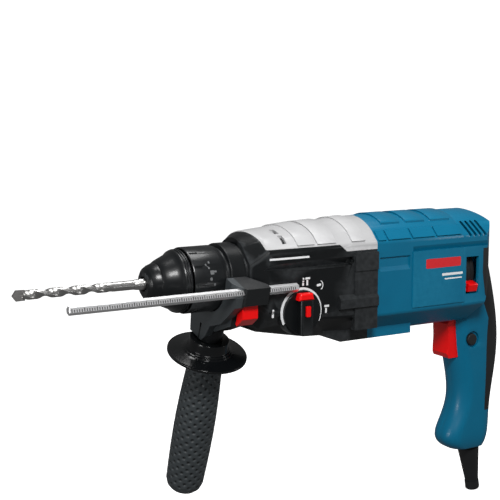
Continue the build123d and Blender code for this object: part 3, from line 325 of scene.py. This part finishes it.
# ---------------------------------------------------------------- mesh helpers
def add_mesh(name, vertices, faces, material, body, smooth=True):
    """A finished mesh piece that rides on a body."""
    mesh = bpy.data.meshes.new(name)
    mesh.from_pydata([tuple(v) for v in vertices], [], faces)
    mesh.validate()
    mesh.update()
    for face in mesh.polygons:
        face.use_smooth = smooth
    obj = bpy.data.objects.new(name, mesh)
    bpy.context.scene.collection.objects.link(obj)
    obj.data.materials.append(material)
    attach(obj, body)
    return obj


def grid_faces(rows, columns, closed=True, offset=0):
    """Quads between rows of points, each row closed round on itself or open."""
    faces = []
    wrap = columns if closed else columns - 1
    for i in range(rows - 1):
        for j in range(wrap):
            k = (j + 1) % columns
            a = offset + i * columns
            b = a + columns
            faces.append((a + j, a + k, b + k, b + j))
    return faces


def joint(name):
    """A joint of the record by its name."""
    return next(j for j in frame["record"]["behaviour"]["joints"] if j["name"] == name)


def middle(name):
    """The middle of a CAD node's box."""
    low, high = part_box(name)
    return (low + high) / 2


# ---------------------------------------------------------------- drill bit
def make_bit():
    """The masonry bit: two spiral flutes that run out into a plain neck, and the shank."""
    low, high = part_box("drill_bit")
    lead = 38 * MM
    flute_end = low.x + 74 * MM
    neck_end = low.x + 92 * MM
    rows = 330
    columns = 64
    vertices = []
    for i in range(rows):
        x = low.x + (neck_end - low.x) * i / (rows - 1)
        run_out = min(1.0, max(0.0, (flute_end - x) / (9 * MM)))
        run_in = min(1.0, max(0.0, (x - low.x) / (1.5 * MM)))
        land = (3.55 + 0.25 * run_in) * MM
        for j in range(columns):
            angle = 2 * math.pi * j / columns
            turn = (angle - 2 * math.pi * (x - low.x) / lead) % math.pi
            across = abs(turn / math.pi - 0.5) * 2
            hollow = max(0.0, 1 - (across / 0.66) ** 2)
            radius = land - run_out * (1.75 * MM * hollow ** 0.7)
            vertices.append((x, radius * math.cos(angle), radius * math.sin(angle)))
    faces = grid_faces(rows, columns)
    shank = []
    for x, radius in ((neck_end, 3.8), (neck_end + 1.0 * MM, 4.1), (-1 * MM, 4.9), (0, 5.0),
                      (high.x - 1.5 * MM, 5.0), (high.x, 4.0)):
        shank.append((x, radius * MM))
    offset = len(vertices)
    for x, radius in shank:
        for j in range(columns):
            angle = 2 * math.pi * j / columns
            vertices.append((x, radius * math.cos(angle), radius * math.sin(angle)))
    faces += grid_faces(len(shank), columns, offset=offset)
    faces.append(tuple(range(columns)))
    faces.append(tuple(reversed(range(len(vertices) - columns, len(vertices)))))
    bit = add_mesh("fluted_bit", vertices, faces, BIT, "bit")
    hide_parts("drill_bit")


# ---------------------------------------------------------------- sleeve spring
def make_spring():
    """The chuck's coil spring, a wire helix over the length of the CAD spring."""
    low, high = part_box("sleeve_spring")
    wire = 0.85 * MM
    ring = (high.z - low.z) / 2 - wire
    turns = 4
    steps = turns * 40
    around = 10
    start = low.x + wire
    rise = high.x - low.x - 2 * wire
    vertices = []
    for i in range(steps + 1):
        angle = 2 * math.pi * turns * i / steps
        out = Vector((0, math.cos(angle), math.sin(angle)))
        centre = Vector((start + rise * i / steps, 0, 0)) + out * ring
        for j in range(around):
            turn = 2 * math.pi * j / around
            vertices.append(centre + out * (wire * math.cos(turn)) + Vector((wire * math.sin(turn), 0, 0)))
    faces = grid_faces(steps + 1, around)
    faces.append(tuple(range(around)))
    faces.append(tuple(reversed(range(len(vertices) - around, len(vertices)))))
    spring = add_mesh("coil_spring", vertices, faces, DARK, "spindle")
    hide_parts("sleeve_spring")
    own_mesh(spring)


# ---------------------------------------------------------------- side grip
def make_grip():
    """The side grip: a barrel of soft rubber with staggered round dimples."""
    record = joint("side_grip_unscrew")
    origin = Vector(record["pos_m"])
    down = Vector(record["axis"]).normalized()
    side = Vector((1, 0, 0))
    front = down.cross(side).normalized()
    profile = [(72.3, 4.2), (72.3, 14.2), (73.2, 14.8), (76, 14.7), (90, 15.5), (105, 16.5), (120, 17.3),
               (135, 17.8), (152, 18.0), (170, 17.8), (186, 17.4), (203, 16.8), (208, 15.2), (211.2, 12.4),
               (213.4, 7.0), (214, 3.0), (212.5, 2.6)]
    drops = []
    step = 0.55
    for (d0, r0), (d1, r1) in zip(profile, profile[1:]):
        count = max(1, int(math.hypot(d1 - d0, r1 - r0) / step))
        for k in range(count):
            t = k / count
            drops.append((d0 + (d1 - d0) * t, r0 + (r1 - r0) * t))
    drops.append(profile[-1])
    columns = 180
    vertices = []
    rows_round = 12
    pitch = 7.9
    for drop, radius in drops:
        for j in range(columns):
            angle = 2 * math.pi * j / columns
            reach = radius
            if 77 < drop < 205:
                reach -= dimple(drop, angle * radius, 2 * math.pi * radius, rows_round, pitch)
            out = side * math.cos(angle) + front * math.sin(angle)
            vertices.append(origin + down * (drop * MM) + out * (reach * MM))
    faces = grid_faces(len(drops), columns)
    faces.append(tuple(reversed(range(columns))))
    faces.append(tuple(range(len(vertices) - columns, len(vertices))))
    grip = add_mesh("dimpled_grip", vertices, faces, RUBBER, "side_grip")
    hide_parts("side_grip")


def dimple(drop, along, around, count, pitch):
    """Depth in mm at a point of the grip, with staggered dimples in count columns."""
    width = around / count
    best = 0.0
    row = round((drop - 80) / (pitch / 2))
    for near in (row - 1, row, row + 1):
        shift = 0.5 if near % 2 else 0.0
        column = round(along / width - shift) + shift
        gap = math.hypot(drop - 80 - near * pitch / 2, along - column * width)
        best = max(best, 1.3 * max(0.0, 1 - (gap / 1.9) ** 2))
    return best


# ---------------------------------------------------------------- printed marks
def plate(name, outlines, place, material, body, thickness=0.06):
    """Thin printed shapes: outlines are lists of (a, b) in mm, place maps (a, b, lift) to a point."""
    vertices = []
    faces = []
    for outline in outlines:
        start = len(vertices)
        count = len(outline)
        for lift in (-0.15, thickness):
            for a, b in outline:
                vertices.append(place(a, b, lift))
        faces.append(tuple(range(start + count, start + 2 * count)))
        for j in range(count):
            k = (j + 1) % count
            faces.append((start + j, start + k, start + count + k, start + count + j))
    return add_mesh(name, vertices, faces, material, body, smooth=False)


def bar(a, b, width, height, turn=0.0, corner=0.25):
    """A rounded bar outline centred on (a, b)."""
    corner = min(corner, width / 2 - 0.01, height / 2 - 0.01)
    points = []
    for sx, sy, first in ((1, 1, 0), (-1, 1, 90), (-1, -1, 180), (1, -1, 270)):
        for step in range(4):
            angle = math.radians(first + step * 30)
            x = sx * (width / 2 - corner) + corner * math.cos(angle)
            y = sy * (height / 2 - corner) + corner * math.sin(angle)
            points.append((x, y))
    c, s = math.cos(math.radians(turn)), math.sin(math.radians(turn))
    return [(a + x * c - y * s, b + x * s + y * c) for x, y in points]


def near_side(y):
    """Places flat marks on a plane facing the knob side: a runs along X, b along Z."""
    def place(a, b, lift):
        return (a * MM, y - lift * MM, b * MM)
    return place


def arc_outline(cx, cz, radius, first, last, width_first, width_last, steps=48):
    """A tapering arc: angles in degrees, anticlockwise from +X in the XZ plane."""
    outer = []
    inner = []
    for i in range(steps + 1):
        t = i / steps
        angle = math.radians(first + (last - first) * t)
        width = width_first + (width_last - width_first) * t
        outer.append((cx + radius * math.cos(angle), cz + radius * math.sin(angle)))
        inner.append((cx + (radius - width) * math.cos(angle), cz + (radius - width) * math.sin(angle)))
    return outer, inner


def ribbon(name, outer, inner, place, material, body):
    """A thin strip between two lines of points."""
    vertices = []
    for lift in (-0.15, 0.06):
        for a, b in outer:
            vertices.append(place(a, b, lift))
        for a, b in inner:
            vertices.append(place(a, b, lift))
    count = len(outer)
    faces = []
    for i in range(count - 1):
        o, n, top = i, i + count, 2 * count
        faces.append((top + o, top + o + 1, top + n + 1, top + n))
        faces.append((o, o + 1, top + o + 1, top + o))
        faces.append((n, n + 1, top + n + 1, top + n))
    faces.append((0, count, 3 * count, 2 * count))
    faces.append((count - 1, 2 * count - 1, 4 * count - 1, 3 * count - 1))
    return add_mesh(name, vertices, faces, material, body, smooth=False)


def make_marks():
    """White mode marks round the knob: an arc and plain pictograms."""
    knob = middle("mode_knob")
    cx, cz = knob.x / MM, knob.z / MM
    pad_y = -38.2 * MM
    outer, inner = arc_outline(cx, cz, 20.3, 208, -28, 2.9, 1.2)
    ribbon("mode_arc", outer, inner, near_side(pad_y), WHITE_INK, "housing")
    side = near_side(-38.05 * MM)
    hammer_a = [bar(cx + 6.4, cz + 27.4, 4.6, 1.7), bar(cx + 5.9, cz + 23.8, 1.7, 4.4)]
    drill_a = [bar(cx + 2.2, cz + 27.4, 1.7, 1.7, 0, 0.8), bar(cx + 2.0, cz + 25.3, 1.7, 0.9),
               bar(cx + 1.8, cz + 22.9, 1.7, 2.6)]
    plate("mark_hammer_drill", hammer_a + drill_a, side, WHITE_INK, "housing")
    hammer_b = [bar(cx + 25.6, cz + 2.4, 4.8, 1.8), bar(cx + 24.9, cz - 1.3, 1.8, 4.2)]
    plate("mark_hammer", hammer_b, side, WHITE_INK, "housing")
    drill_b = [bar(cx - 27.2, cz + 3.4, 1.9, 1.7, 0, 0.8), bar(cx - 27.4, cz + 1.6, 1.7, 0.6),
               bar(cx - 27.6, cz - 1.0, 2.0, 3.0)]
    plate("mark_drill", drill_b, side, WHITE_INK, "housing")
    arrows = [bar(cx + 17.6, cz + 20.9, 4.6, 2.1, 8, 1.0)]
    plate("mark_adjust", arrows, side, WHITE_INK, "housing")
    outer, inner = arc_outline(cx + 17.4, cz + 20.6, 4.6, 62, -58, 0.75, 0.75, 14)
    ribbon("mark_adjust_arc", outer, inner, side, WHITE_INK, "housing")


def make_ring_marks():
    """Small printed marks on the chuck ring, laid on its curve."""
    low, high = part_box("chuck_lock_ring")
    radius = (high.z - low.z) / 2

    def place(a, b, lift):
        angle = math.radians(172) - b * MM / radius
        reach = radius + (lift - 0.02) * MM
        return (a * MM, reach * math.cos(angle), reach * math.sin(angle))
    start = low.x / MM
    plate("ring_lock_mark",
          [bar(start + 16.0, 5.2, 3.4, 3.4, 0, 0.8), bar(start + 18.8, 5.8, 2.4, 1.5, 0, 0.6)], place,
          RING_INK, "chuck_lock_ring")
    plate("ring_arrow",
          [bar(start + 12.6, 10.6, 1.5, 5.2, 35, 0.5), bar(start + 14.8, 14.0, 1.5, 2.0, 0, 0.4)], place,
          RING_INK, "chuck_lock_ring")
    plate("ring_dots", [bar(start + 14.6, 0.0, 2.2, 2.6, 0, 0.9), bar(start + 17.6, -4.6, 2.0, 2.0, 0, 0.9)],
          place,
          RING_INK, "chuck_lock_ring")


def make_rod_marks():
    """The depth scale: a tick each two millimetres, longer every tenth."""
    low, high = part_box("depth_rod")
    axis = (low + high) / 2
    flat = 3.2 * MM
    angle = math.radians(ROD_FACE_ANGLE + SIDE_HANDLE_LEAN)
    out = Vector((0, math.cos(angle), math.sin(angle)))
    up = Vector((0, -math.sin(angle), math.cos(angle)))
    if up.z < 0:
        up = -up

    def place(a, b, lift):
        return Vector((a * MM, axis.y, axis.z)) + out * (flat + (lift * 0.5) * MM) + up * (b * MM)
    ticks = []
    length = int((high.x - low.x) / MM) - 4
    for index in range(0, length, 2):
        tall = 2.7 if index % 10 == 0 else 2.0
        x = low.x / MM + 2 + index
        ticks.append([(x - 0.35, -1.6), (x + 0.35, -1.6), (x + 0.35, -1.6 + tall), (x - 0.35, -1.6 + tall)])
    plate("rod_scale", ticks, place, DARK_INK, "depth_rod")


def on_side(name):
    """Places flat marks on the knob side of a CAD node, following its surface."""
    obj = frame["nodes"][name]
    inverse = obj.matrix_world.inverted()

    def place(a, b, lift):
        start = Vector((a * MM, -0.08, b * MM))
        hit, point, _, _ = obj.ray_cast(inverse @ start, inverse.to_3x3() @ Vector((0, 1, 0)))
        found = obj.matrix_world @ point if hit else start
        return found - Vector((0, lift * MM, 0))
    return place


def make_stripe_line():
    """A plain white line on the stripe under the cover, with no lettering."""
    place = on_side("gear_housing")
    steps = [94 + 2 * i for i in range(20)]
    top = [(a, 17.6) for a in steps]
    low = [(a, 15.9) for a in steps]
    ribbon("stripe_line", top, low, place, WHITE_INK, "housing")


def make_labels():
    """A plain red bar and two white lines on the motor casing, with no lettering."""
    low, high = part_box("motor_housing")
    side = near_side(low.y)
    right = high.x / MM
    plate("panel_bar", [bar(right - 23.5, 1.2, 40, 8.4, 0, 1.2)], side, RED_INK, "housing")
    plate("panel_lines", [bar(right - 13, -9.6, 24, 2.2, 0, 0.6), bar(right - 12, -13.6, 20, 1.2, 0, 0.5)],
          side, WHITE_INK, "housing")


# ---------------------------------------------------------------- stage
def make_stage():
    """Pale round floor with a pale wall, soft studio lights and the camera."""
    low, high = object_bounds()
    mesh = bpy.data.meshes.new("floor")
    sides = 64
    rim = []
    for height in (low.z, low.z + WALL_HEIGHT):
        for k in range(sides):
            angle = 2 * math.pi * k / sides
            rim.append((FLOOR_RADIUS * math.cos(angle), FLOOR_RADIUS * math.sin(angle), height))
    mesh.from_pydata(rim, [], grid_faces(2, sides) + [tuple(range(sides))])
    floor = bpy.data.objects.new("floor", mesh)
    bpy.context.scene.collection.objects.link(floor)
    material, tree, shader, coords = new_material("floor_pale")
    tree.links.new(mixed(tree, noise(tree, coords, 3.0), (0.86, 0.86, 0.86), (0.90, 0.90, 0.90)),
                   shader.inputs["Base Color"])
    shader.inputs["Roughness"].default_value = 0.7
    shader.inputs["Emission Color"].default_value = (1.0, 1.0, 1.0, 1)
    shader.inputs["Emission Strength"].default_value = 0.9
    floor.data.materials.append(material)
    floor.visible_glossy = False
    floor.visible_diffuse = False

    world = bpy.data.worlds.new("studio")
    bpy.context.scene.world = world
    world.use_nodes = True
    world.node_tree.nodes["Background"].inputs["Color"].default_value = (1.0, 1.0, 1.0, 1)
    world.node_tree.nodes["Background"].inputs["Strength"].default_value = 0.14

    centre = (low + high) / 2
    for name, offset, size, power in (
            ("key", (-0.35, -0.85, 0.85), 0.30, 12.0),
            ("top", (0.1, 0.10, 1.1), 0.5, 6.5),
            ("left", (-1.1, -0.30, 0.15), 0.3, 3.0),
            ("right", (1.0, -0.6, 0.3), 0.3, 1.5)):
        data = bpy.data.lights.new(name, "AREA")
        data.size = size
        data.energy = power
        lamp = bpy.data.objects.new(name, data)
        lamp.location = centre + Vector(offset)
        lamp.rotation_mode = "QUATERNION"
        lamp.rotation_quaternion = (centre - lamp.location).to_track_quat("-Z", "Y")
        bpy.context.scene.collection.objects.link(lamp)

    data = bpy.data.cameras.new("camera")
    data.sensor_width = 36.0
    data.lens = CAMERA_LENS
    camera = bpy.data.objects.new("camera", data)
    azimuth, elevation = math.radians(CAMERA_AZIMUTH), math.radians(CAMERA_ELEVATION)
    back = Vector((math.sin(azimuth) * math.cos(elevation), -math.cos(azimuth) * math.cos(elevation),
                   math.sin(elevation)))
    camera.location = CAMERA_PLACE
    camera.rotation_mode = "QUATERNION"
    camera.rotation_quaternion = (-back).to_track_quat("-Z", "Y")
    bpy.context.scene.collection.objects.link(camera)
    bpy.context.scene.camera = camera
    bpy.context.scene.view_settings.view_transform = "Standard"


finish_cad_nodes()
make_bit()
make_spring()
make_grip()
make_marks()
make_ring_marks()
make_rod_marks()
make_labels()
make_stripe_line()
make_stage()
